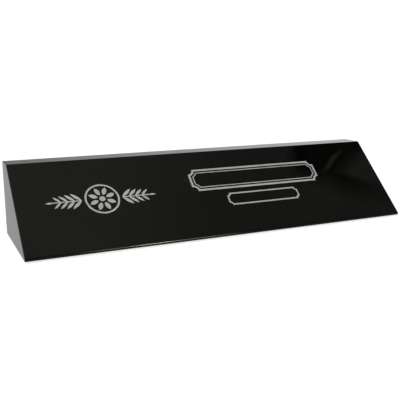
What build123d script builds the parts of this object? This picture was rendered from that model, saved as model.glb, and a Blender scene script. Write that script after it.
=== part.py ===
from build123d import *
import math
import os

# A desk name plate: a solid polished stone wedge on four felt pads. Its sloping face carries an
# engraving filled with enamel: a rosette between two leaf sprays, and two frames, bare inside.
# Millimetres. +X runs along the plate, +Y to its back and +Z up.
# The origin is on the desk, under the middle of the plate.

# Stone wedge
plate_length = 203.2
plate_depth = 50.8
stone_height = 36.5
top_land = 12.7
nose_radius = 0.9
arris_radius = 0.8
end_arris_radius = 0.4
end_arris_limit = 0.75  # of the section's own corner radii, which the ends' rounding must stay under

# Felt pads under the stone, each held by a film of adhesive
pad_diameter = 12.0
pad_thickness = 0.6
pad_margin = 5.0
adhesive_setback = 0.4
adhesive_thickness = 0.1

# Engraving, sunk square to the sloping face, with the enamel a little below the polish
engraving_depth = 0.5
enamel_recess = 0.1
cutter_overshoot = 1.0

# Emblem at the left: a ringed rosette between two sprays
emblem_left_margin = 13.6
emblem_rise = 2.8
ring_diameter = 17.0
ring_stroke = 1.0
petal_count = 8
petal_width = 2.3
petal_clearance = 0.7
centre_diameter = 3.0

# Leaf spray, drawn pointing right, with the leaves shrinking towards its tip
spray_gap = 1.4
stem_width = 0.7
leaf_pairs = 4
leaf_pitch = 3.2
leaf_length = 6.6
leaf_width = 1.65
leaf_angle = 42.0
tip_leaf_share = 0.66

# Frames at the right for a name and, under it, a title
emblem_to_name_gap = 20.1
name_right_margin = 39.4
name_height = 13.6
name_stroke = 1.2
inner_line_gap = 0.8
inner_line_stroke = 0.6
name_scoop_radius = 2.8
title_width = 42.0
title_height = 7.6
title_stroke = 0.9
title_scoop_radius = 1.6
name_to_title_gap = 2.8
frames_rise = 3.5

# Reach of the sprays from the middle of the rosette, and of the whole emblem
spray_start = ring_diameter / 2 + spray_gap
stem_length = leaf_pairs * leaf_pitch
emblem_length = 2 * (spray_start + stem_length + tip_leaf_share * leaf_length)

# Heights of the stone's underside and top above the desk
stone_base = pad_thickness + adhesive_thickness
stone_top = stone_base + stone_height

# The face is the line from its top edge that just touches the round nose
nose_y = -plate_depth / 2 + nose_radius
nose_z = stone_base + nose_radius
face_top_y = plate_depth / 2 - top_land
nose_to_top = math.dist((nose_y, nose_z), (face_top_y, stone_top))
nose_to_top_angle = math.atan2(stone_top - nose_z, face_top_y - nose_y)
face_angle = nose_to_top_angle - math.asin(nose_radius / nose_to_top)
face_tip_y = nose_y - nose_radius / math.tan(face_angle / 2)

# Drawing planes: the sloping face about its middle, and the floor of the engraving under it
face = Plane(
    origin=(0, (face_tip_y + face_top_y) / 2, (stone_base + stone_top) / 2),
    x_dir=(1, 0, 0),
    z_dir=(0, -math.sin(face_angle), math.cos(face_angle)),
)
engraving_floor = face.offset(-engraving_depth)


def blank_wedge():
    """The stone before engraving: its rounded section drawn out along the plate, ends eased."""
    section = FilletPolyline(
        (face_tip_y, stone_base),
        (plate_depth / 2, stone_base),
        (plate_depth / 2, stone_top),
        (face_top_y, stone_top),
        radius=[nose_radius, arris_radius, arris_radius, arris_radius],
        close=True,
    )
    wedge = extrude(Plane.YZ * make_face(section), amount=plate_length / 2, both=True)
    ends = wedge.faces().filter_by(Axis.X)
    end_round = min(end_arris_radius, end_arris_limit * min(arris_radius, nose_radius))
    return fillet(ends.edges(), radius=end_round)


def leaf(length, width):
    """A leaf pointed at both ends, from the origin along +X."""
    upper = ThreePointArc((0, 0), (length / 2, width / 2), (length, 0))
    lower = ThreePointArc((length, 0), (length / 2, -width / 2), (0, 0))
    return make_face([upper, lower])


def rosette_petals():
    """Leaf-shaped petals evenly round the rosette, clear of its ring and its centre."""
    inner_reach = centre_diameter / 2 + petal_clearance
    outer_reach = ring_diameter / 2 - ring_stroke - petal_clearance
    petal = Pos(inner_reach, 0) * leaf(outer_reach - inner_reach, petal_width)
    turn = 360 / petal_count
    return Sketch() + [Rot(0, 0, (i + 0.5) * turn) * petal for i in range(petal_count)]


def leaf_spray():
    """A stem to the right of the rosette with pairs of leaves and one leaf at its tip."""
    stem_align = (Align.MIN, Align.CENTER)
    stem = Pos(spray_start, 0) * Rectangle(stem_length + stem_width, stem_width, align=stem_align)
    tip = leaf(tip_leaf_share * leaf_length, tip_leaf_share * leaf_width)
    shapes = [stem, Pos(spray_start + stem_length, 0) * tip]
    for i in range(leaf_pairs):
        share = 1 - (1 - tip_leaf_share) * i / leaf_pairs
        base = Pos(spray_start + leaf_pitch * i, 0)
        blade = leaf(share * leaf_length, share * leaf_width)
        shapes += [base * Rot(0, 0, side * leaf_angle) * blade for side in (1, -1)]
    return Sketch() + shapes


def scooped_frame(width, height, stroke, scoop, inset=0.0):
    """A line of even width round a rectangle with scooped corners, inset from its outline."""
    corners = GridLocations(width, height, 2, 2)

    def panel(margin):
        field = Rectangle(width - 2 * margin, height - 2 * margin)
        return field - corners * Circle(scoop + margin)

    return panel(inset) - panel(inset + stroke)


# Places of the emblem and of the two frames on the face
emblem_x = -plate_length / 2 + emblem_left_margin + emblem_length / 2
name_left = emblem_x + emblem_length / 2 + emblem_to_name_gap
name_right = plate_length / 2 - name_right_margin
name_width = name_right - name_left
frames_x = (name_left + name_right) / 2
frames_height = name_height + name_to_title_gap + title_height
emblem_place = Pos(emblem_x, emblem_rise)
name_place = Pos(frames_x, frames_rise + (frames_height - name_height) / 2)
title_place = Pos(frames_x, frames_rise - (frames_height - title_height) / 2)

ring = Circle(ring_diameter / 2) - Circle(ring_diameter / 2 - ring_stroke)
right_spray = leaf_spray()
left_spray = mirror(right_spray, about=Plane.YZ)
name_frame = scooped_frame(name_width, name_height, name_stroke, name_scoop_radius)
name_inner_line = scooped_frame(
    name_width,
    name_height,
    inner_line_stroke,
    name_scoop_radius,
    inset=name_stroke + inner_line_gap,
)
title_frame = scooped_frame(title_width, title_height, title_stroke, title_scoop_radius)

engraving = {
    "emblem_ring_fill": emblem_place * ring,
    "emblem_petals_fill": emblem_place * rosette_petals(),
    "emblem_centre_fill": emblem_place * Circle(centre_diameter / 2),
    "left_spray_fill": emblem_place * left_spray,
    "right_spray_fill": emblem_place * right_spray,
    "name_frame_fill": name_place * name_frame,
    "name_inner_line_fill": name_place * name_inner_line,
    "title_frame_fill": title_place * title_frame,
}

# The stone with its engraving cut, and the enamel that fills each cut
nodes = {"stone_wedge": blank_wedge()}
for name, outline in engraving.items():
    drawn = engraving_floor * outline
    nodes["stone_wedge"] -= extrude(drawn, amount=engraving_depth + cutter_overshoot)
    nodes[name] = extrude(drawn, amount=engraving_depth - enamel_recess)

# The felt pads near the corners of the underside, and the adhesive between pad and stone
standing = (Align.CENTER, Align.CENTER, Align.MIN)
pad_x = plate_length / 2 - pad_margin - pad_diameter / 2
pad_y = plate_depth / 2 - pad_margin - pad_diameter / 2
pad_places = {
    "front_left": (-pad_x, -pad_y),
    "front_right": (pad_x, -pad_y),
    "back_left": (-pad_x, pad_y),
    "back_right": (pad_x, pad_y),
}
for corner, (x, y) in pad_places.items():
    pad = Cylinder(pad_diameter / 2, pad_thickness, align=standing)
    film = Cylinder(pad_diameter / 2 - adhesive_setback, adhesive_thickness, align=standing)
    nodes["foot_pad_" + corner] = Pos(x, y) * pad
    nodes["pad_adhesive_" + corner] = Pos(x, y, pad_thickness) * film

os.makedirs("parts", exist_ok=True)
for name, shape in nodes.items():
    export_step(shape, "parts/" + name + ".step")

print("nodes", len(nodes))
print("face angle", round(math.degrees(face_angle), 2))
print("name frame", round(name_width, 2), "x", name_height)
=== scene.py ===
# %% [markdown]
# # A desk name plate cut from black marble
# The real object is one wedge of marble with a mirror polish. Its sloping face is engraved, the
# engraving is filled with silver-grey enamel, and four felt dots keep the stone off the desk.
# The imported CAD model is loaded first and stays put. Every place below is read from it, and every
# other size is a named value in millimetres, so the pieces made here land where the CAD says.

# %% Load the frame
import bpy
import math
from mathutils import Euler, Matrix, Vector


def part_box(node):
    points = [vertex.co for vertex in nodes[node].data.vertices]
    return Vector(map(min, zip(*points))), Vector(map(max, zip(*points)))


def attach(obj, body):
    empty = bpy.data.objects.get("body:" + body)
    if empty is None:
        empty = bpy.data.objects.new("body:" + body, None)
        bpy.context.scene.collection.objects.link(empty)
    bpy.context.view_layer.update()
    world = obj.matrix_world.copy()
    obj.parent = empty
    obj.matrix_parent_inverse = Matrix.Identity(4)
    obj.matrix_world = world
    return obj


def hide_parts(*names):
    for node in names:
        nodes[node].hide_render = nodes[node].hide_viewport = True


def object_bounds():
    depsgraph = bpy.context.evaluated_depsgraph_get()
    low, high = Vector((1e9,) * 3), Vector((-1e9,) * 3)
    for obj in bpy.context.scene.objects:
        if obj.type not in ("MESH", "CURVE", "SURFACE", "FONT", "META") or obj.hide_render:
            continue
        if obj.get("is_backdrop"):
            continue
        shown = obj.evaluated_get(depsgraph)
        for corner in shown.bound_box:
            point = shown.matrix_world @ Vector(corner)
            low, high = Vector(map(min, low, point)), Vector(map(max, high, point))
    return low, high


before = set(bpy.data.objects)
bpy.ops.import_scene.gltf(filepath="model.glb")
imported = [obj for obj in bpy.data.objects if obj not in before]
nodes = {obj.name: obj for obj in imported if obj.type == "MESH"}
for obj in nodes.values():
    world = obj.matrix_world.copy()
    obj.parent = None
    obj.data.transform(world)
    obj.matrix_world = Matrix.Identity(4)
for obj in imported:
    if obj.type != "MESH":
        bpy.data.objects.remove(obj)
cad_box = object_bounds()
scene = bpy.context.scene
MM = 0.001
print("CAD nodes:", len(nodes))

# %% [markdown]
# ## Camera
# The photograph looks down a little at the plate from its left front corner. A camera is only a
# place, two angles and a focal length, so these were fitted to the corners of the stone. The image
# is square, which lets one lens value hold for both directions.

# %% Camera
camera_place = Vector((-142.07, -292.4, 86.4)) * MM
camera_turn = math.radians(24.655)
camera_dip = math.radians(12.652)
focal_px = 638.86
image_px = 400

camera_data = bpy.data.cameras.new("Camera")
camera_data.sensor_width = 36.0
camera_data.lens = camera_data.sensor_width * focal_px / image_px
camera_data.clip_start = 0.01
camera = bpy.data.objects.new("Camera", camera_data)
camera.location = camera_place
camera.rotation_euler = Euler((math.radians(90) - camera_dip, 0, -camera_turn))
scene.collection.objects.link(camera)
scene.camera = camera
scene.view_settings.view_transform = "Standard"
print("lens", round(camera_data.lens, 2), "mm")

# %% [markdown]
# ## Two helpers
# Shaders and Geometry Nodes are both node trees, so one function that adds a node, sets it up and
# links it serves for all of them. Colours are written the way a paint card gives them, as sRGB
# hex, and turned to the linear values that Blender computes with.

# %% Helpers for nodes and colours
def add(tree, kind, inputs=(), **settings):
    """Adds a node. Inputs come in order or by name: a value, a socket, a node, or a list of them."""
    node = tree.nodes.new(kind)
    for name, value in settings.items():
        setattr(node, name, value)
    sockets = [socket for socket in node.inputs if socket.enabled]
    pairs = zip(sockets, inputs)
    if isinstance(inputs, dict):
        by_name = {socket.name: socket for socket in reversed(sockets)}
        pairs = [(by_name[name], given) for name, given in inputs.items()]
    for socket, given in pairs:
        for source in given if isinstance(given, list) else [given]:
            if isinstance(source, bpy.types.Node):
                source = next(output for output in source.outputs if output.enabled)
            if isinstance(source, bpy.types.NodeSocket):
                tree.links.new(source, socket)
            else:
                socket.default_value = source
    return node


def colour(code):
    """An sRGB hex colour as linear red, green, blue and alpha."""
    channels = [int(code[i:i + 2], 16) / 255 for i in (1, 3, 5)]
    linear = [c / 12.92 if c <= 0.04045 else ((c + 0.055) / 1.055) ** 2.4 for c in channels]
    return (*linear, 1.0)


print("middle grey is", round(colour("#808080")[0], 3), "in linear light")

# %% [markdown]
# ## Studio sky
# Polished black stone shows its surroundings more than itself, so the studio is half of the look.
# Lamps alone would leave the mirror empty between them. A sky works better: white at the horizon,
# then greys that rise to the right for the narrow top of the plate, and dim and a little warm
# overhead, where the sloping face looks. All of it is soft ramps over the direction of view.

# %% Sky
world = bpy.data.worlds.new("Studio")
scene.world = world
world.use_nodes = True
sky = world.node_tree
sky.nodes.clear()
way = add(sky, "ShaderNodeTexCoord").outputs["Generated"]
east, north, height = add(sky, "ShaderNodeSeparateXYZ", [way]).outputs

# A Map Range is a ramp: a value, the two ends of its span, and what these ends turn into
SOFT = {"interpolation_type": "SMOOTHSTEP"}
# White at the horizon, and just as bright as the far floor below it
horizon = add(sky, "ShaderNodeMapRange", [height, -0.02, 0.07, 1.0, 1.03], **SOFT)
# Greys for the top of the plate, brighter to the right
backdrop = add(sky, "ShaderNodeMapRange", [east, 0.0, 0.7, 0.23, 0.97])
# The dim part for the sloping face, darker to the right
overhead = add(sky, "ShaderNodeMapRange", [east, 0.24, 0.5, 0.265, 0.125], **SOFT)
# How far a height is up from the horizon into the backdrop, and from there to overhead
lift = add(sky, "ShaderNodeMapRange", [height, 0.084, 0.12, 0.0, 1.0], **SOFT)
climb = add(sky, "ShaderNodeMapRange", [height, 0.17, 0.5, 0.0, 1.0], **SOFT)
print("sky ramps:", sum(node.bl_idname == "ShaderNodeMapRange" for node in sky.nodes))

# %% [markdown]
# ## Dark gap
# Near its upper right corner the face is blacker, because it mirrors something dark overhead. That
# is a gap in the sky here: three soft edges, uneven as a noise makes them, with a dimmer band that
# trails off to the right and one thin slit of light across it.

# %% Dark gap
# Slants of the gap's lower edge, its right edge and its slit, and where the slit lies
low_lean = 0.5
right_lean = -0.8
slit_lean = -0.667
slit_line = 0.6497
slit_north = -0.093

ragged = add(sky, "ShaderNodeTexNoise", {"Vector": way, "Scale": 40.0, "Detail": 3.0})
wander = add(sky, "ShaderNodeMapRange", [ragged, 0.3, 0.7, -0.004, 0.004])
uneven = add(sky, "ShaderNodeMath", [east, wander], operation="ADD")
left_edge = add(sky, "ShaderNodeMapRange", [uneven, 0.528, 0.549, 0.0, 1.0], **SOFT)
rising = add(sky, "ShaderNodeMath", [uneven, low_lean, north], operation="MULTIPLY_ADD")
low_edge = add(sky, "ShaderNodeMapRange", [rising, 0.140, 0.188, 0.0, 1.0], **SOFT)
falling = add(sky, "ShaderNodeMath", [north, right_lean, uneven], operation="MULTIPLY_ADD")
right_edge = add(sky, "ShaderNodeMapRange", [falling, 0.666, 0.702, 1.0, 0.0], **SOFT)
trail_depth = add(sky, "ShaderNodeMapRange", [east, 0.6, 0.66, 0.95, 0.3])
trail = add(sky, "ShaderNodeMapRange", [rising, 0.181, 0.196, trail_depth, 0.0], **SOFT)
patch = add(sky, "ShaderNodeMath", [right_edge, trail], operation="MAXIMUM")

across = add(sky, "ShaderNodeMath", [north, slit_lean, uneven], operation="MULTIPLY_ADD")
off_slit = add(sky, "ShaderNodeMath", [across, slit_line], operation="SUBTRACT")
beside = add(sky, "ShaderNodeMath", [off_slit], operation="ABSOLUTE")
slit_width = add(sky, "ShaderNodeMapRange", [beside, 0.0, 0.007, 1.25, 0.0], **SOFT)
along = add(sky, "ShaderNodeMath", [north, slit_north], operation="SUBTRACT")
from_middle = add(sky, "ShaderNodeMath", [along], operation="ABSOLUTE")
slit_length = add(sky, "ShaderNodeMapRange", [from_middle, 0.004, 0.022, 1.0, 0.0], **SOFT)
slit = add(sky, "ShaderNodeMath", [slit_width, slit_length], operation="MULTIPLY")
unlit = add(sky, "ShaderNodeMath", [1.0, slit], operation="SUBTRACT")

gap = unlit
for share in (left_edge, low_edge, patch):
    gap = add(sky, "ShaderNodeMath", [gap, share], operation="MULTIPLY")
# Unclamped, so that the sky gets brighter than it was in the slit
open_sky = add(sky, "ShaderNodeMapRange", [gap, 0.0, 1.0, 1.0, 0.0], clamp=False)
overhead = add(sky, "ShaderNodeMath", [overhead, open_sky], operation="MULTIPLY")
print("sky nodes so far:", len(sky.nodes))

# %% [markdown]
# ## Glow
# Something has to light the floor and the enamel, and in a mirror every lamp shows. Seen from the
# camera, no face of the plate mirrors the upper left front, so a broad soft glow hangs there.

# %% Glow
glow_way = Vector((-0.52, -0.40, 0.755)).normalized()
glow_strength = 4.42
toward_glow = add(sky, "ShaderNodeVectorMath", [way, glow_way], operation="DOT_PRODUCT")
glow = add(sky, "ShaderNodeMapRange", [toward_glow, 0.78, 0.96, 0.0, glow_strength], **SOFT)
upper = add(sky, "ShaderNodeMix", [climb, backdrop, overhead])
strength = add(sky, "ShaderNodeMix", [lift, horizon, upper])
tint = add(sky, "ShaderNodeMix", [climb, colour("#FFFFFF"), colour("#FFFFEE")], data_type="RGBA")
plain_sky = add(sky, "ShaderNodeBackground", [tint, strength])
softbox = add(sky, "ShaderNodeBackground", [colour("#FBFCFF"), glow])
both = add(sky, "ShaderNodeAddShader", [plain_sky, softbox])
add(sky, "ShaderNodeOutputWorld", {"Surface": both})
print("sky nodes:", len(sky.nodes))

# %% [markdown]
# ## Floor
# The plate stands on a light table: matt opal acrylic, lit from below. So the floor stays white
# right up to the stone, and the honed ends mirror it as a soft grey. Opal acrylic lets most light
# through, which leaves its own colour a middle grey.

# %% Floor
def new_material(name):
    """A material and its empty node tree."""
    material = bpy.data.materials.new(name)
    material.use_nodes = True
    material.node_tree.nodes.clear()
    return material, material.node_tree


table_light = 0.75
opal, tree = new_material("opal_acrylic_matt")
surface = add(tree, "ShaderNodeBsdfPrincipled", {
    "Base Color": colour("#989898"), "Roughness": 0.85, "Specular IOR Level": 0.1,
    "Emission Color": colour("#FFFFFF"), "Emission Strength": table_light,
})
add(tree, "ShaderNodeOutputMaterial", {"Surface": surface})

floor_half = 5.0
floor_corners = [(x * floor_half, y * floor_half, 0) for x, y in ((-1, -1), (1, -1), (1, 1), (-1, 1))]
floor_mesh = bpy.data.meshes.new("studio_floor")
floor_mesh.from_pydata(floor_corners, [], [(0, 1, 2, 3)])
floor_mesh.materials.append(opal)
floor = bpy.data.objects.new("studio_floor", floor_mesh)
scene.collection.objects.link(floor)
floor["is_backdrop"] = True
print("floor", 2 * floor_half, "m wide")

# %% [markdown]
# ## Window and curtain
# On polished stone a lamp shows as a glint wherever a rounded edge happens to face it. Two lamps at
# the front right do what a window does in the photograph: they draw a warm line along the lower
# edge, bright in its middle and faint towards its ends. Both are left out of diffuse light, so they
# show in the polish and throw no warm pool on the floor. They hang low, because the sloping face
# then mirrors them only to an eye high above it.

# %% Lamps
def hang_lamp(name, place, width, height, watts, tint):
    """A rectangular lamp in metres that shines at the plate and shows only in reflections."""
    data = bpy.data.lights.new(name, "AREA")
    data.shape = "RECTANGLE"
    data.size = width
    data.size_y = height
    data.energy = watts
    data.color = colour(tint)[:3]
    lamp = bpy.data.objects.new(name, data)
    lamp.location = place
    lamp.rotation_euler = (-lamp.location).to_track_quat("-Z", "Y").to_euler()
    lamp.visible_diffuse = False
    scene.collection.objects.link(lamp)
    print(name, round(lamp.location.length, 2), "m away")


warm = "#FFF2D2"
hang_lamp("window_gap", (0.331, -0.925, 0.52), width=0.085, height=0.2, watts=5.8, tint=warm)
hang_lamp("window_curtain", (0.345, -0.967, 0.439), width=0.32, height=0.42, watts=8.0, tint=warm)

# %% [markdown]
# ## Black marble
# Black marble is a limestone coloured by carbon. Polished, it is an almost perfect black mirror:
# of the stone itself the eye gets only a faint clouding, fine crystals and a few hairline veins of
# calcite. A vein is a filled crack, so it is a sheet through the block and crosses every face it
# meets. That is how it is made here: planes in the stone, bent by noise, and thin as a hair. The
# block gets several finishes but is one stone, so its colour is a node group that each finish uses.

# %% Marble body
marble = bpy.data.node_groups.new("black_marble", "ShaderNodeTree")
marble.interface.new_socket("colour", in_out="OUTPUT", socket_type="NodeSocketColor")
place = add(marble, "ShaderNodeTexCoord").outputs["Object"]
cloud_mm = 38.0
crystal_mm = 0.9
clouds = add(marble, "ShaderNodeTexNoise", {"Vector": place, "Scale": 1 / (cloud_mm * MM), "Detail": 4.0})
crystals = add(marble, "ShaderNodeTexNoise", {"Vector": place, "Scale": 1 / (crystal_mm * MM)})
cloudy = add(marble, "ShaderNodeMapRange", [clouds, 0.35, 0.7, 0.0, 1.0], **SOFT)
sparkle = add(marble, "ShaderNodeMapRange", [crystals, 0.62, 0.78, 0.0, 0.25], **SOFT)
body = add(marble, "ShaderNodeMix", [cloudy, colour("#020202"), colour("#060605")], data_type="RGBA")
body = add(marble, "ShaderNodeMix", [sparkle, body, colour("#191917")], data_type="RGBA")
print("marble clouds", cloud_mm, "mm, crystals", crystal_mm, "mm")

# %% Marble veins
vein_bend_mm = 26.0
vein_sway_mm = 9.0
vein_patch_mm = 17.0
# Each vein sheet: the way its plane faces, how far it lies from the origin and its width, in mm
vein_sheets = [
    ((0.62, -0.55, 0.56), -13.0, 0.45),
    ((0.80, 0.35, 0.48), -47.0, 0.40),
    ((0.42, 0.75, -0.51), -20.0, 0.35),
]
bends = add(marble, "ShaderNodeTexNoise", {
    "Vector": place, "Scale": 1 / (vein_bend_mm * MM), "Detail": 5.0,
})
patches = add(marble, "ShaderNodeTexNoise", {"Vector": place, "Scale": 1 / (vein_patch_mm * MM)})
bend = add(marble, "ShaderNodeMapRange", [bends, 0.0, 1.0, -vein_sway_mm * MM, vein_sway_mm * MM])
vein_shade = add(marble, "ShaderNodeMapRange", [patches, 0.42, 0.66, 0.0, 0.06], **SOFT)
for faces, distance, width in vein_sheets:
    plane_way = Vector(faces).normalized()
    depth = add(marble, "ShaderNodeVectorMath", [place, plane_way], operation="DOT_PRODUCT")
    bent = add(marble, "ShaderNodeMath", [depth, bend], operation="ADD")
    off = add(marble, "ShaderNodeMath", [bent, distance * MM], operation="SUBTRACT")
    away = add(marble, "ShaderNodeMath", [off], operation="ABSOLUTE")
    line = add(marble, "ShaderNodeMapRange", [away, 0.0, width * MM, 1.0, 0.0], **SOFT)
    shown = add(marble, "ShaderNodeMath", [line, vein_shade], operation="MULTIPLY")
    body = add(marble, "ShaderNodeMix", [shown, body, colour("#5A5852")], data_type="RGBA")
add(marble, "NodeGroupOutput", {"colour": body})
print("vein sheets:", len(vein_sheets), "marble nodes:", len(marble.nodes))

# %% [markdown]
# ## How far the polish goes
# Only the sloping face, the top and the back get the full mirror, under a few smears from handling.
# The two ends are ground on a smaller wheel and stay softer. The rounded edges are eased by hand,
# so they mirror far less than the flats and show small pale nicks, and the underside keeps the
# marks of the saw, because nobody sees it. Each finish is a material on the same stone.

# %% Polished and honed marble
def start_marble(name):
    """A finish on the marble: its material, its tree, the place on the stone and the stone's colour."""
    material, tree = new_material(name)
    place = add(tree, "ShaderNodeTexCoord").outputs["Object"]
    return material, tree, place, add(tree, "ShaderNodeGroup", node_tree=marble)


MARBLE_IOR = 1.5
smear_mm = 30.0
smooth_finishes = []
# Each smooth finish: its name, and its roughness where the stone is clean and where it is smeared
for name, clean, smeared in (("mirror_polished", 0.008, 0.02), ("honed", 0.325, 0.35)):
    material, tree, place, body = start_marble("black_marble_" + name)
    smears = add(tree, "ShaderNodeTexNoise", {"Vector": place, "Scale": 1 / (smear_mm * MM), "Detail": 3.0})
    rough = add(tree, "ShaderNodeMapRange", [smears, 0.35, 0.75, clean, smeared], **SOFT)
    surface = add(tree, "ShaderNodeBsdfPrincipled", {
        "Base Color": body, "Roughness": rough, "IOR": MARBLE_IOR,
    })
    add(tree, "ShaderNodeOutputMaterial", {"Surface": surface})
    smooth_finishes.append(material)
polished, honed = smooth_finishes
print("smears", smear_mm, "mm across")

# %% Eased marble
nick_mm = 1.6
eased, tree, place, body = start_marble("black_marble_eased_by_hand")
nicks = add(tree, "ShaderNodeTexNoise", {"Vector": place, "Scale": 1 / (nick_mm * MM), "Detail": 3.0})
nicked = add(tree, "ShaderNodeMapRange", [nicks, 0.5, 0.7, 0.0, 0.5], **SOFT)
worn = add(tree, "ShaderNodeMix", [nicked, body, colour("#161615")], data_type="RGBA")
surface = add(tree, "ShaderNodeBsdfPrincipled", {
    "Base Color": worn, "Roughness": 0.05, "IOR": MARBLE_IOR, "Specular IOR Level": 0.12,
})
add(tree, "ShaderNodeOutputMaterial", {"Surface": surface})
print("nicks", nick_mm, "mm across")

# %% Sawn marble
saw_mark_mm = 2.2
saw_depth_mm = 0.15
# A wave of the Wave texture is tau / 20 long at scale 1
saw_scale = math.tau / (20 * saw_mark_mm * MM)
sawn, tree, place, body = start_marble("black_marble_sawn")
saw_lines = add(tree, "ShaderNodeTexWave", {
    "Vector": place, "Scale": saw_scale, "Distortion": 1.5, "Detail": 2.0,
}, bands_direction="X").outputs["Fac"]
dusty = add(tree, "ShaderNodeMapRange", [saw_lines, 0.0, 1.0, 0.85, 1.0])
dull = add(tree, "ShaderNodeMix", [dusty, body, colour("#2A2A28")], data_type="RGBA")
marks = add(tree, "ShaderNodeBump", {"Strength": 1.0, "Distance": saw_depth_mm * MM, "Height": saw_lines})
surface = add(tree, "ShaderNodeBsdfPrincipled", {
    "Base Color": dull, "Roughness": 0.6, "IOR": MARBLE_IOR, "Normal": marks,
})
add(tree, "ShaderNodeOutputMaterial", {"Surface": surface})
print("saw marks", saw_mark_mm, "mm apart")

# %% [markdown]
# ## Silver enamel over a blasted cut
# The cuts are blasted into the polish with grit and painted silver-grey. The grit leaves a fine
# pitted floor that shows through the thin paint as a slight speckle, and the paint dries satin.
# Real grit is finer than a pixel here, so its speckle is drawn about three times too coarse.

# %% Enamel
enamel, tree = new_material("silver_enamel_on_blasted_stone")
place = add(tree, "ShaderNodeTexCoord").outputs["Object"]
grit_mm = 0.45
coat_mm = 6.0
grit = add(tree, "ShaderNodeTexNoise", {"Vector": place, "Scale": 1 / (grit_mm * MM)})
coat = add(tree, "ShaderNodeTexNoise", {"Vector": place, "Scale": 1 / (coat_mm * MM)})
thinner = add(tree, "ShaderNodeMapRange", [coat, 0.3, 0.7, 0.0, 1.0], **SOFT)
pitted = add(tree, "ShaderNodeMapRange", [grit, 0.55, 0.8, 0.0, 0.45], **SOFT)
paint = add(tree, "ShaderNodeMix", [thinner, colour("#8B8B8B"), colour("#969594")], data_type="RGBA")
paint = add(tree, "ShaderNodeMix", [pitted, paint, colour("#656563")], data_type="RGBA")
pits = add(tree, "ShaderNodeBump", {"Strength": 0.25, "Distance": 0.05 * MM, "Height": grit})
surface = add(tree, "ShaderNodeBsdfPrincipled", {"Base Color": paint, "Roughness": 0.48, "Normal": pits})
add(tree, "ShaderNodeOutputMaterial", {"Surface": surface})
print("enamel grit", grit_mm, "mm")

# %% [markdown]
# ## The sloping face as a drawing board
# All of the engraving is drawn on the sloping face, so the face gets its own axes: along the
# plate, up the slope and out of the stone. The slope is read from the CAD stone, whose widest
# triangle that looks up and forward lies in the face.

# %% Face axes
stone_mesh = nodes["stone_wedge"].data
facing = [p for p in stone_mesh.polygons if p.normal.y < -0.3 and p.normal.z > 0.3]
widest = max(facing, key=lambda p: p.area)
face_out = widest.normal.copy()
face_along = Vector((1, 0, 0))
face_up = face_out.cross(face_along)
face_level = face_out.dot(stone_mesh.vertices[widest.vertices[0]].co)
slope = math.atan2(-face_out.y, face_out.z)
print("slope", round(math.degrees(slope), 2), "degrees")


def drawn_box(node):
    """A CAD node's lowest and highest corner along the face, up its slope and out of it."""
    corners = [vertex.co for vertex in nodes[node].data.vertices]
    spans = [[corner.dot(axis) for corner in corners] for axis in (face_along, face_up, face_out)]
    return Vector([min(span) for span in spans]), Vector([max(span) for span in spans])


# %% [markdown]
# ## Geometry Nodes helpers
# A tree with named inputs is a small machine: set its sizes, run it, keep the mesh. Each tree here
# draws its piece flat at the origin, and its last steps tilt it, set it in place and paint it.

# %% Helpers for Geometry Nodes
PLACING = {"place": "Vector", "slope": "Float", "paint": "Material"}
SEAM = 0.001 * MM  # corners closer than this are sewn into one


def start_tree(name, **inputs):
    """A node tree with these named inputs, and the sockets that carry them inside it."""
    tree = bpy.data.node_groups.new(name, "GeometryNodeTree")
    for label, kind in inputs.items():
        tree.interface.new_socket(label, in_out="INPUT", socket_type="NodeSocket" + kind)
    tree.interface.new_socket("made", in_out="OUTPUT", socket_type="NodeSocketGeometry")
    return tree, add(tree, "NodeGroupInput").outputs


def set_down(tree, ins, piece):
    """The last steps of a tree: its piece tilted, set in place, made real and painted."""
    tilt = add(tree, "ShaderNodeCombineXYZ", {"X": ins["slope"]})
    laid = add(tree, "GeometryNodeTransform", {
        "Geometry": piece, "Translation": ins["place"], "Rotation": tilt,
    })
    real = add(tree, "GeometryNodeRealizeInstances", {"Geometry": laid})
    painted = add(tree, "GeometryNodeSetMaterial", {"Geometry": real, "Material": ins["paint"]})
    add(tree, "NodeGroupOutput", {"made": painted})


def freeze(piece):
    """Keeps what a piece's modifiers make as its plain mesh."""
    made = piece.evaluated_get(bpy.context.evaluated_depsgraph_get())
    mesh = bpy.data.meshes.new_from_object(made)
    piece.modifiers.clear()
    piece.data = mesh


def run_tree(name, tree, **sizes):
    """Runs a tree on an empty object and keeps the result as a plain mesh."""
    piece = bpy.data.objects.new(name, bpy.data.meshes.new(name))
    scene.collection.objects.link(piece)
    modifier = piece.modifiers.new("Nodes", "NODES")
    modifier.node_group = tree
    for socket in tree.interface.items_tree:
        if socket.in_out == "INPUT":
            modifier[socket.identifier] = sizes[socket.name]
    freeze(piece)
    # Nodes can leave an empty slot before the paint, so the slots are filled anew
    piece.data.materials.clear()
    piece.data.materials.append(sizes["paint"])
    return piece


# %% [markdown]
# ## A closed slab
# Every mark on the face has straight walls, so each starts as a flat outline. One small tree turns
# an outline into a closed slab: the outline is pushed up, a flipped copy closes the bottom, and
# the two are sewn together along the rim. Other trees use it as a single node.

# %% Closed slab
slab, ins = start_tree("closed_slab", outline="Geometry", thickness="Float")
push = add(slab, "ShaderNodeCombineXYZ", {"Z": ins["thickness"]})
pushed = add(slab, "GeometryNodeExtrudeMesh", {
    "Mesh": ins["outline"], "Offset": push, "Offset Scale": 1.0, "Individual": False,
})
bottom = add(slab, "GeometryNodeFlipFaces", {"Mesh": ins["outline"]})
shell = add(slab, "GeometryNodeJoinGeometry", {"Geometry": [pushed, bottom]})
sewn = add(slab, "GeometryNodeMergeByDistance", {"Geometry": shell, "Distance": SEAM})
add(slab, "NodeGroupOutput", {"made": sewn})
print("slab nodes:", len(slab.nodes))

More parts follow.
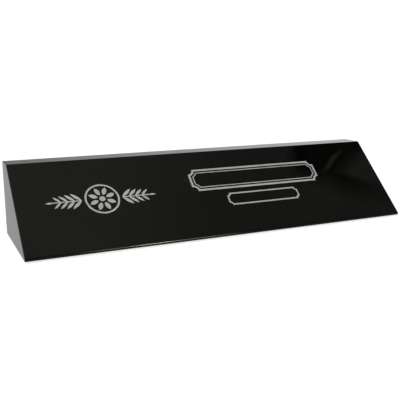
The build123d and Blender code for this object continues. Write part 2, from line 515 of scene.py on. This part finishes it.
# %% [markdown]
# ## Leaf
# Petals and leaves are one shape: two arcs that meet in points. It is drawn once, from its length
# and width, and the trees after it only place copies.

# %% Leaf
arc_points = 17
leaf, ins = start_tree("leaf", length="Float", width="Float", thickness="Float")
tip = add(leaf, "ShaderNodeCombineXYZ", {"X": ins["length"]})
middle = add(leaf, "ShaderNodeMath", [ins["length"], 0.5], operation="MULTIPLY")
arcs = []
for side in (0.5, -0.5):
    bulge = add(leaf, "ShaderNodeMath", [ins["width"], side], operation="MULTIPLY")
    belly = add(leaf, "ShaderNodeCombineXYZ", {"X": middle, "Y": bulge})
    arcs.append(add(leaf, "GeometryNodeCurveArc", {
        "Resolution": arc_points, "Start": (0, 0, 0), "Middle": belly, "End": tip,
    }, mode="POINTS"))
outline = add(leaf, "GeometryNodeJoinGeometry", {"Geometry": arcs})
blade = add(leaf, "GeometryNodeFillCurve", {"Curve": outline}, mode="NGONS")
joined = add(leaf, "GeometryNodeMergeByDistance", {"Geometry": blade, "Distance": SEAM})
thick = add(leaf, "GeometryNodeGroup", {"outline": joined, "thickness": ins["thickness"]}, node_tree=slab)
add(leaf, "NodeGroupOutput", {"made": thick})
print("leaf nodes:", len(leaf.nodes))

# %% [markdown]
# ## Rosette
# The petals stand evenly round the centre. Drawing each by hand would be dull and uneven, so eight
# points carry eight copies of one petal, and each copy's turn follows from its number. The ring
# and the centre are circles, filled and made slabs.

# %% Petals
petals, ins = start_tree(
    "rosette_petals", count="Int", start="Float", length="Float", width="Float",
    thickness="Float", **PLACING,
)
petal = add(petals, "GeometryNodeGroup", {
    "length": ins["length"], "width": ins["width"], "thickness": ins["thickness"],
}, node_tree=leaf)
reach = add(petals, "ShaderNodeCombineXYZ", {"X": ins["start"]})
set_out = add(petals, "GeometryNodeTransform", {"Geometry": petal, "Translation": reach})
number = add(petals, "GeometryNodeInputIndex")
half_on = add(petals, "ShaderNodeMath", [number, 0.5], operation="ADD")
share = add(petals, "ShaderNodeMath", [half_on, ins["count"]], operation="DIVIDE")
angle = add(petals, "ShaderNodeMath", [share, math.tau], operation="MULTIPLY")
turn = add(petals, "ShaderNodeCombineXYZ", {"Z": angle})
points = add(petals, "GeometryNodePoints", {"Count": ins["count"]})
around = add(petals, "GeometryNodeInstanceOnPoints", {
    "Points": points, "Instance": set_out, "Rotation": turn,
})
set_down(petals, ins, around)
print("petal nodes:", len(petals.nodes))

# %% Ring and centre
ring_points = 96
centre_points = 64
ring, ins = start_tree("rosette_ring", radius="Float", stroke="Float", thickness="Float", **PLACING)
hole = add(ring, "ShaderNodeMath", [ins["radius"], ins["stroke"]], operation="SUBTRACT")
circles = [
    add(ring, "GeometryNodeCurvePrimitiveCircle", {"Resolution": ring_points, "Radius": radius})
    for radius in (ins["radius"], hole)
]
rims = add(ring, "GeometryNodeJoinGeometry", {"Geometry": circles})
flat = add(ring, "GeometryNodeFillCurve", {"Curve": rims}, mode="TRIANGLES")
band = add(ring, "GeometryNodeGroup", {"outline": flat, "thickness": ins["thickness"]}, node_tree=slab)
set_down(ring, ins, band)

centre, ins = start_tree("rosette_centre", radius="Float", thickness="Float", **PLACING)
rim = add(centre, "GeometryNodeCurvePrimitiveCircle", {
    "Resolution": centre_points, "Radius": ins["radius"],
})
flat = add(centre, "GeometryNodeFillCurve", {"Curve": rim}, mode="NGONS")
disc = add(centre, "GeometryNodeGroup", {"outline": flat, "thickness": ins["thickness"]}, node_tree=slab)
set_down(centre, ins, disc)
print("ring nodes:", len(ring.nodes), "centre nodes:", len(centre.nodes))

# %% [markdown]
# ## Leaf spray
# A spray is a stem with pairs of leaves that get smaller towards its tip. The leaves are instances
# on a line of points, leaning to either side, and their size follows from their number. Leaves and
# stem overlap, so a Boolean union makes one solid of them; the stem is a hair longer than it
# looks, because a union dislikes corners that only just touch.

# %% Spray leaves
stem_lap = 0.03 * MM
spray, ins = start_tree(
    "leaf_spray", start="Float", pairs="Int", pitch="Float", length="Float", width="Float", angle="Float",
    tip_share="Float", stem="Float", turn="Float", thickness="Float", **PLACING,
)
one_leaf = add(spray, "GeometryNodeGroup", {
    "length": ins["length"], "width": ins["width"], "thickness": ins["thickness"],
}, node_tree=leaf)
first = add(spray, "ShaderNodeCombineXYZ", {"X": ins["start"]})
step = add(spray, "ShaderNodeCombineXYZ", {"X": ins["pitch"]})
buds = add(spray, "GeometryNodeMeshLine", {"Count": ins["pairs"], "Start Location": first, "Offset": step})
number = add(spray, "GeometryNodeInputIndex")
along = add(spray, "ShaderNodeMath", [number, ins["pairs"]], operation="DIVIDE")
size = add(spray, "ShaderNodeMix", [along, 1.0, ins["tip_share"]])
leaf_size = add(spray, "ShaderNodeCombineXYZ", [size, size, 1.0])
parts = []
for side in (1, -1):
    lean = add(spray, "ShaderNodeMath", [ins["angle"], side], operation="MULTIPLY")
    leaning = add(spray, "ShaderNodeCombineXYZ", {"Z": lean})
    row = add(spray, "GeometryNodeInstanceOnPoints", {
        "Points": buds, "Instance": one_leaf, "Rotation": leaning, "Scale": leaf_size,
    })
    parts.append(add(spray, "GeometryNodeRealizeInstances", {"Geometry": row}))
print("spray nodes so far:", len(spray.nodes))

# %% Spray stem and tip
run = add(spray, "ShaderNodeMath", [ins["pitch"], ins["pairs"]], operation="MULTIPLY")
end_x = add(spray, "ShaderNodeMath", [ins["start"], run], operation="ADD")
end = add(spray, "ShaderNodeCombineXYZ", {"X": end_x})
tip_size = add(spray, "ShaderNodeCombineXYZ", [ins["tip_share"], ins["tip_share"], 1.0])
parts.append(add(spray, "GeometryNodeTransform", {
    "Geometry": one_leaf, "Translation": end, "Scale": tip_size,
}))
stem_run = add(spray, "ShaderNodeMath", [run, ins["stem"]], operation="ADD")
stem_long = add(spray, "ShaderNodeMath", [stem_run, 2 * stem_lap], operation="ADD")
stem_size = add(spray, "ShaderNodeCombineXYZ", [stem_long, ins["stem"], ins["thickness"]])
stem_x = add(spray, "ShaderNodeMath", [stem_run, 0.5, ins["start"]], operation="MULTIPLY_ADD")
stem_z = add(spray, "ShaderNodeMath", [ins["thickness"], 0.5], operation="MULTIPLY")
stem_place = add(spray, "ShaderNodeCombineXYZ", {"X": stem_x, "Z": stem_z})
stem = add(spray, "GeometryNodeMeshCube", {"Size": stem_size})
parts.append(add(spray, "GeometryNodeTransform", {"Geometry": stem, "Translation": stem_place}))
fused = add(spray, "GeometryNodeMeshBoolean", [parts, True], operation="UNION", solver="EXACT")
clean = add(spray, "GeometryNodeMergeByDistance", {"Geometry": fused, "Distance": SEAM})
turn = add(spray, "ShaderNodeCombineXYZ", {"Z": ins["turn"]})
turned = add(spray, "GeometryNodeTransform", {"Geometry": clean, "Rotation": turn})
set_down(spray, ins, turned)
print("spray nodes:", len(spray.nodes))

# %% [markdown]
# ## Scooped frame
# A frame is a rectangle with a round bite out of each corner, and its line is what one such panel
# leaves of a larger one. The four bites are instances on the corners of a small grid.

# %% Scooped frame
bite_points = 96
scooped, ins = start_tree(
    "scooped_frame", width="Float", height="Float", stroke="Float", scoop="Float", inset="Float",
    thickness="Float", **PLACING,
)
corners = add(scooped, "GeometryNodeMeshGrid", [ins["width"], ins["height"], 2, 2])
inner_margin = add(scooped, "ShaderNodeMath", [ins["inset"], ins["stroke"]], operation="ADD")
panels = []
for margin, taller in ((ins["inset"], 1.0), (inner_margin, 2.0)):
    width = add(scooped, "ShaderNodeMath", [margin, -2.0, ins["width"]], operation="MULTIPLY_ADD")
    height = add(scooped, "ShaderNodeMath", [margin, -2.0, ins["height"]], operation="MULTIPLY_ADD")
    depth = add(scooped, "ShaderNodeMath", [ins["thickness"], taller], operation="MULTIPLY")
    bite_depth = add(scooped, "ShaderNodeMath", [depth, 2.0], operation="MULTIPLY")
    bite_radius = add(scooped, "ShaderNodeMath", [ins["scoop"], margin], operation="ADD")
    field_size = add(scooped, "ShaderNodeCombineXYZ", [width, height, depth])
    field = add(scooped, "GeometryNodeMeshCube", {"Size": field_size})
    bite = add(scooped, "GeometryNodeMeshCylinder", {
        "Vertices": bite_points, "Radius": bite_radius, "Depth": bite_depth,
    })
    bites = add(scooped, "GeometryNodeInstanceOnPoints", {"Points": corners, "Instance": bite})
    bites = add(scooped, "GeometryNodeRealizeInstances", {"Geometry": bites})
    panel = add(scooped, "GeometryNodeMeshBoolean", [field, bites], operation="DIFFERENCE", solver="EXACT")
    panels.append(panel)
line = add(scooped, "GeometryNodeMeshBoolean", panels, operation="DIFFERENCE", solver="EXACT")
clean = add(scooped, "GeometryNodeMergeByDistance", {"Geometry": line, "Distance": SEAM})
half = add(scooped, "ShaderNodeMath", [ins["thickness"], 0.5], operation="MULTIPLY")
raised = add(scooped, "ShaderNodeCombineXYZ", {"Z": half})
on_floor = add(scooped, "GeometryNodeTransform", {"Geometry": clean, "Translation": raised})
set_down(scooped, ins, on_floor)
print("frame nodes:", len(scooped.nodes))

# %% [markdown]
# ## Engraving
# Each drawing is run twice: once as the enamel that fills a cut, and once taller, as the cutter
# that makes it. Enamel and cut then fit each other without any measuring.

# %% Sizes of the marks
petal_count = 8
petal_width = 2.3 * MM
petal_gap = 0.7 * MM
ring_stroke = 1.0 * MM
ring_low, ring_high = drawn_box("emblem_ring_fill")
centre_low, centre_high = drawn_box("emblem_centre_fill")
ring_radius = (ring_high.x - ring_low.x) / 2
centre_radius = (centre_high.x - centre_low.x) / 2
rosette_x = (ring_low.x + ring_high.x) / 2
petal_start = centre_radius + petal_gap
petal_length = ring_radius - ring_stroke - petal_gap - petal_start

spray_low, _ = drawn_box("right_spray_fill")
spray_sizes = {
    "start": spray_low.x - rosette_x,
    "pairs": 4,
    "pitch": 3.2 * MM,
    "length": 6.6 * MM,
    "width": 1.65 * MM,
    "angle": math.radians(42.0),
    "tip_share": 0.66,
    "stem": 0.7 * MM,
}

name_low, name_high = drawn_box("name_frame_fill")
title_low, title_high = drawn_box("title_frame_fill")
name_stroke = 1.2 * MM
inner_gap = 0.8 * MM
inner_stroke = 0.6 * MM
title_stroke = 0.9 * MM
name_sizes = {
    "width": name_high.x - name_low.x, "height": name_high.y - name_low.y, "scoop": 2.8 * MM,
}
title_sizes = {
    "width": title_high.x - title_low.x, "height": title_high.y - title_low.y, "scoop": 1.6 * MM,
}
print("ring", round(2 * ring_radius / MM, 2), "mm, name frame", round(name_sizes["width"] / MM, 2), "mm")

# %% Enamel and cutters
inner_inset = name_stroke + inner_gap
petal_sizes = {"count": petal_count, "start": petal_start, "length": petal_length, "width": petal_width}
drawings = [
    ("emblem_ring_fill", ring, "emblem_ring_fill", {"radius": ring_radius, "stroke": ring_stroke}),
    ("emblem_petals_fill", petals, "emblem_ring_fill", petal_sizes),
    ("emblem_centre_fill", centre, "emblem_ring_fill", {"radius": centre_radius}),
    ("left_spray_fill", spray, "emblem_ring_fill", spray_sizes | {"turn": math.pi}),
    ("right_spray_fill", spray, "emblem_ring_fill", spray_sizes | {"turn": 0.0}),
    ("name_frame_fill", scooped, "name_frame_fill", name_sizes | {"stroke": name_stroke, "inset": 0.0}),
    ("name_inner_line_fill", scooped, "name_frame_fill",
     name_sizes | {"stroke": inner_stroke, "inset": inner_inset}),
    ("title_frame_fill", scooped, "title_frame_fill", title_sizes | {"stroke": title_stroke, "inset": 0.0}),
]
cutter_overshoot = 1.0 * MM
enamel_pieces = {}
cutters = []
for node, tree, centred_on, sizes in drawings:
    low, high = drawn_box(centred_on)
    middle = (low + high) / 2
    place = face_along * middle.x + face_up * middle.y + face_out * low.z
    sizes = sizes | {"place": place, "slope": slope, "paint": enamel}
    cut_depth = face_level - low.z + cutter_overshoot
    enamel_pieces[node] = run_tree(node.replace("fill", "enamel"), tree, thickness=high.z - low.z, **sizes)
    cutters.append(run_tree(node + "_cutter", tree, thickness=cut_depth, **sizes))
    print(enamel_pieces[node].name, len(enamel_pieces[node].data.polygons), "faces")

# %% [markdown]
# ## Stone
# The wedge follows a simple rule: one four-cornered section, its corners rounded, drawn along the
# plate. The rule is a tree with the section's corners as inputs. A Bevel modifier then eases the
# two ends, where the angle tells their rims from the gentle steps of the rounding, and Booleans
# cut the engraving with the cutters made above.

# %% Wedge tree
wedge, ins = start_tree(
    "marble_wedge", tip="Vector", heel="Vector", back="Vector", brow="Vector", length="Float", nose="Float",
    arris="Float", paint="Material",
)
quad = add(wedge, "GeometryNodeCurvePrimitiveQuadrilateral", {
    "Point 1": ins["tip"], "Point 2": ins["heel"], "Point 3": ins["back"], "Point 4": ins["brow"],
}, mode="POINTS")
number = add(wedge, "GeometryNodeInputIndex")
at_tip = add(wedge, "ShaderNodeMath", [number, 0.5], operation="LESS_THAN")
radius = add(wedge, "ShaderNodeMix", [at_tip, ins["arris"], ins["nose"]])
rounded = add(wedge, "GeometryNodeFilletCurve", {"Curve": quad, "Count": 12, "Radius": radius}, mode="POLY")
section = add(wedge, "GeometryNodeFillCurve", {"Curve": rounded}, mode="NGONS")
block = add(wedge, "GeometryNodeGroup", {"outline": section, "thickness": ins["length"]}, node_tree=slab)
left = add(wedge, "ShaderNodeMath", [ins["length"], -0.5], operation="MULTIPLY")
start = add(wedge, "ShaderNodeCombineXYZ", {"X": left})
quarter = math.radians(90)
stood = add(wedge, "GeometryNodeTransform", {
    "Geometry": block, "Translation": start, "Rotation": (quarter, 0, quarter),
})
real = add(wedge, "GeometryNodeRealizeInstances", {"Geometry": stood})
painted = add(wedge, "GeometryNodeSetMaterial", {"Geometry": real, "Material": ins["paint"]})
add(wedge, "NodeGroupOutput", {"made": painted})
print("wedge nodes:", len(wedge.nodes))

# %% Cut stone
stone_low, stone_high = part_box("stone_wedge")
nose_radius = 0.9 * MM
arris_radius = 0.8 * MM
end_radius = 0.4 * MM
tip_y, brow_y = [(face_level - face_out.z * z) / face_out.y for z in (stone_low.z, stone_high.z)]
stone = run_tree(
    "marble_wedge", wedge, tip=(tip_y, stone_low.z, 0), heel=(stone_high.y, stone_low.z, 0),
    back=(stone_high.y, stone_high.z, 0), brow=(brow_y, stone_high.z, 0),
    length=stone_high.x - stone_low.x, nose=nose_radius, arris=arris_radius, paint=polished,
)
ease = stone.modifiers.new("Eased ends", "BEVEL")
ease.width = end_radius
ease.segments = 6
ease.limit_method = "ANGLE"
ease.angle_limit = math.radians(50)
ease.use_clamp_overlap = False
for cutter in cutters:
    cut = stone.modifiers.new(cutter.name, "BOOLEAN")
    cut.object = cutter
    cut.solver = "EXACT"
weld = stone.modifiers.new("Weld", "WELD")
weld.merge_threshold = SEAM
freeze(stone)
for cutter in cutters:
    bpy.data.objects.remove(cutter)
print("stone", len(stone.data.polygons), "faces")

# %% Smooth edges and finishes
sharp_angle = math.radians(32)
flat_enough = 0.9999
stone.data.shade_smooth()
stone.data.set_sharp_from_angle(angle=sharp_angle)
# Each flat of the stone, by the way it faces, with its finish. The rounding between them is eased.
flat_finishes = [
    (face_out, polished),
    (Vector((0, 1, 0)), polished),
    (Vector((0, 0, 1)), polished),
    (Vector((0, 0, -1)), sawn),
    (Vector((1, 0, 0)), honed),
    (Vector((-1, 0, 0)), honed),
]
finishes = [polished, honed, eased, sawn]
stone.data.materials.clear()
for finish in finishes:
    stone.data.materials.append(finish)
for face in stone.data.polygons:
    found = [finish for way, finish in flat_finishes if face.normal.dot(way) > flat_enough]
    face.material_index = finishes.index(found[0] if found else eased)
weigh = stone.modifiers.new("Weighted normals", "WEIGHTED_NORMAL")
weigh.keep_sharp = True
weigh.weight = 100
freeze(stone)
print("stone finishes:", [finish.name for finish in finishes])

# %% [markdown]
# ## Felt dots
# Four dots of pressed wool felt are glued under the corners. Felt has no weave: the eye sees a
# dull dark edge with loose fibres standing off it. A cloth simulation would blow such a thin, hard
# disc up like a cushion, so each dot is a disc with a softened, lumpy rim, and short bent fibres
# are scattered on its edge. A real wool fibre is about 0.03 mm thick and is drawn twice that here.

# %% Felt
felt, tree = new_material("pressed_wool_felt_charcoal")
place = add(tree, "ShaderNodeTexCoord").outputs["Object"]
tuft_mm = 1.4
fuzz_mm = 0.25
tufts = add(tree, "ShaderNodeTexNoise", {"Vector": place, "Scale": 1 / (tuft_mm * MM), "Detail": 3.0})
fuzz = add(tree, "ShaderNodeTexNoise", {
    "Vector": place, "Scale": 1 / (fuzz_mm * MM), "Detail": 4.0, "Distortion": 4.0,
})
lighter = add(tree, "ShaderNodeMapRange", [tufts, 0.35, 0.7, 0.0, 1.0], **SOFT)
stray = add(tree, "ShaderNodeMapRange", [fuzz, 0.5, 0.68, 0.0, 0.8], **SOFT)
wool = add(tree, "ShaderNodeMix", [lighter, colour("#262628"), colour("#38383A")], data_type="RGBA")
wool = add(tree, "ShaderNodeMix", [stray, wool, colour("#4C4C4E")], data_type="RGBA")
nap = add(tree, "ShaderNodeBump", {"Strength": 0.6, "Distance": 0.08 * MM, "Height": fuzz})
surface = add(tree, "ShaderNodeBsdfPrincipled", {
    "Base Color": wool, "Roughness": 0.95, "Specular IOR Level": 0.2, "Sheen Weight": 0.3, "Normal": nap,
})
add(tree, "ShaderNodeOutputMaterial", {"Surface": surface})
print("felt tufts", tuft_mm, "mm")

# %% Felt dot body
dot, ins = start_tree(
    "felt_dot", radius="Float", thickness="Float", lumps="Float", fibre="Float", fibre_width="Float",
    density="Float", seed="Int", **PLACING,
)
disc = add(dot, "GeometryNodeMeshCylinder", {
    "Vertices": 48, "Side Segments": 3, "Fill Segments": 5,
    "Radius": ins["radius"], "Depth": ins["thickness"],
})
soft_rim = add(dot, "GeometryNodeSubdivisionSurface", {"Mesh": disc, "Level": 1})
lump_noise = add(dot, "ShaderNodeTexNoise", {
    "W": ins["seed"], "Scale": 1 / (tuft_mm * MM),
}, noise_dimensions="4D")
low_lump = add(dot, "ShaderNodeMath", [ins["lumps"], -1.0], operation="MULTIPLY")
bulge = add(dot, "ShaderNodeMapRange", [lump_noise, 0.3, 0.7, low_lump, 0.0])
sideways = add(dot, "ShaderNodeCombineXYZ", {"X": bulge, "Y": bulge})
outward = add(dot, "GeometryNodeInputNormal")
shift = add(dot, "ShaderNodeVectorMath", [outward, sideways], operation="MULTIPLY")
lumpy = add(dot, "GeometryNodeSetPosition", {"Geometry": soft_rim, "Offset": shift})
print("dot nodes so far:", len(dot.nodes))

# %% Felt dot fibres
fibre_lift = 0.15
most_swing = 0.24
# Fibres stand only where the height off the middle is under this share of the thickness
edge_share = 0.3
half_fibre = add(dot, "ShaderNodeMath", [ins["fibre"], 0.5], operation="MULTIPLY")
back_half = add(dot, "ShaderNodeMath", [ins["fibre"], -0.5], operation="MULTIPLY")
lifted = add(dot, "ShaderNodeMath", [ins["fibre"], 2 * fibre_lift], operation="MULTIPLY")
strand = add(dot, "GeometryNodeCurveQuadraticBezier", {
    "Resolution": 4,
    "Start": add(dot, "ShaderNodeCombineXYZ", {"X": back_half}),
    "Middle": add(dot, "ShaderNodeCombineXYZ", {"Z": lifted}),
    "End": add(dot, "ShaderNodeCombineXYZ", {"X": half_fibre}),
})
fibre_radius = add(dot, "ShaderNodeMath", [ins["fibre_width"], 0.5], operation="MULTIPLY")
profile = add(dot, "GeometryNodeCurvePrimitiveCircle", {"Resolution": 3, "Radius": fibre_radius})
fibre = add(dot, "GeometryNodeCurveToMesh", {"Curve": strand, "Profile Curve": profile, "Fill Caps": True})

level = add(dot, "ShaderNodeSeparateXYZ", [add(dot, "GeometryNodeInputPosition")]).outputs["Z"]
off_middle = add(dot, "ShaderNodeMath", [level], operation="ABSOLUTE")
share = add(dot, "ShaderNodeMath", [off_middle, ins["thickness"]], operation="DIVIDE")
on_edge = add(dot, "ShaderNodeMath", [share, edge_share], operation="LESS_THAN")
spots = add(dot, "GeometryNodeDistributePointsOnFaces", {
    "Mesh": lumpy, "Selection": on_edge, "Density": ins["density"], "Seed": ins["seed"],
})
swing = add(dot, "FunctionNodeRandomValue", {"Min": -most_swing, "Max": most_swing, "Seed": ins["seed"]})
spin = add(dot, "FunctionNodeEulerToRotation", [add(dot, "ShaderNodeCombineXYZ", {"Z": swing})])
lie = add(dot, "FunctionNodeRotateRotation", [spots.outputs["Rotation"], spin], rotation_space="LOCAL")
other_seed = add(dot, "ShaderNodeMath", [ins["seed"], 100], operation="ADD")
size = add(dot, "FunctionNodeRandomValue", {"Min": 0.5, "Max": 1.0, "Seed": other_seed})
fibres = add(dot, "GeometryNodeInstanceOnPoints", {
    "Points": spots, "Instance": fibre, "Rotation": lie, "Scale": size,
})
set_down(dot, ins, add(dot, "GeometryNodeJoinGeometry", {"Geometry": [lumpy, fibres]}))
print("dot nodes:", len(dot.nodes))

# %% Four felt dots
felt_dots = {}
for number, corner in enumerate(("front_left", "front_right", "back_left", "back_right")):
    low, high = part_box("foot_pad_" + corner)
    felt_dots["foot_pad_" + corner] = run_tree(
        "felt_dot_" + corner, dot, radius=(high.x - low.x) / 2, thickness=high.z - low.z,
        lumps=0.12 * MM, fibre=0.7 * MM, fibre_width=0.06 * MM, density=14 / MM ** 2,
        seed=number + 1, place=(low + high) / 2, slope=0.0, paint=felt,
    )
    print("felt dot", corner, len(felt_dots["foot_pad_" + corner].data.polygons), "faces")

# %% [markdown]
# ## Adhesive film
# A film of pale acrylic adhesive holds each dot. It shows only as a thin line above the felt. Its
# CAD disc already has the right shape, so it stays and only gets a finish: slightly milky, with
# small bubbles caught under the backing.

# %% Adhesive
film, tree = new_material("acrylic_adhesive_film")
place = add(tree, "ShaderNodeTexCoord").outputs["Object"]
milk_mm = 3.0
bubble_mm = 0.5
milk = add(tree, "ShaderNodeTexNoise", {"Vector": place, "Scale": 1 / (milk_mm * MM), "Detail": 3.0})
bubbles = add(tree, "ShaderNodeTexVoronoi", {"Vector": place, "Scale": 1 / (bubble_mm * MM)})
milky = add(tree, "ShaderNodeMapRange", [milk, 0.3, 0.7, 0.0, 1.0], **SOFT)
cream = add(tree, "ShaderNodeMix", [milky, colour("#C4C0B1"), colour("#D0CCBE")], data_type="RGBA")
dimples = add(tree, "ShaderNodeBump", {"Strength": 0.4, "Distance": 0.03 * MM, "Height": bubbles})
surface = add(tree, "ShaderNodeBsdfPrincipled", {"Base Color": cream, "Roughness": 0.35, "Normal": dimples})
add(tree, "ShaderNodeOutputMaterial", {"Surface": surface})
films = [node for name, node in nodes.items() if name.startswith("pad_adhesive")]
for node in films:
    node.data.materials.clear()
    node.data.materials.append(film)
print("adhesive films:", len(films))

# %% [markdown]
# ## Rides, sizes and the end
# Nothing on the plate moves, so every piece rides on the one body.

# %% Rides and finish
pieces = {"stone_wedge": (stone, "polished_stone")}
pieces |= {node: (piece, "engraving_enamel") for node, piece in enamel_pieces.items()}
pieces |= {node: (piece, "felt") for node, piece in felt_dots.items()}
for node, (piece, slot) in pieces.items():
    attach(piece, "root")
    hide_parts(node)

visual_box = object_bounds()
sizes = {"cad": [list(corner) for corner in cad_box], "visual": [list(corner) for corner in visual_box]}
print("sizes", sizes)
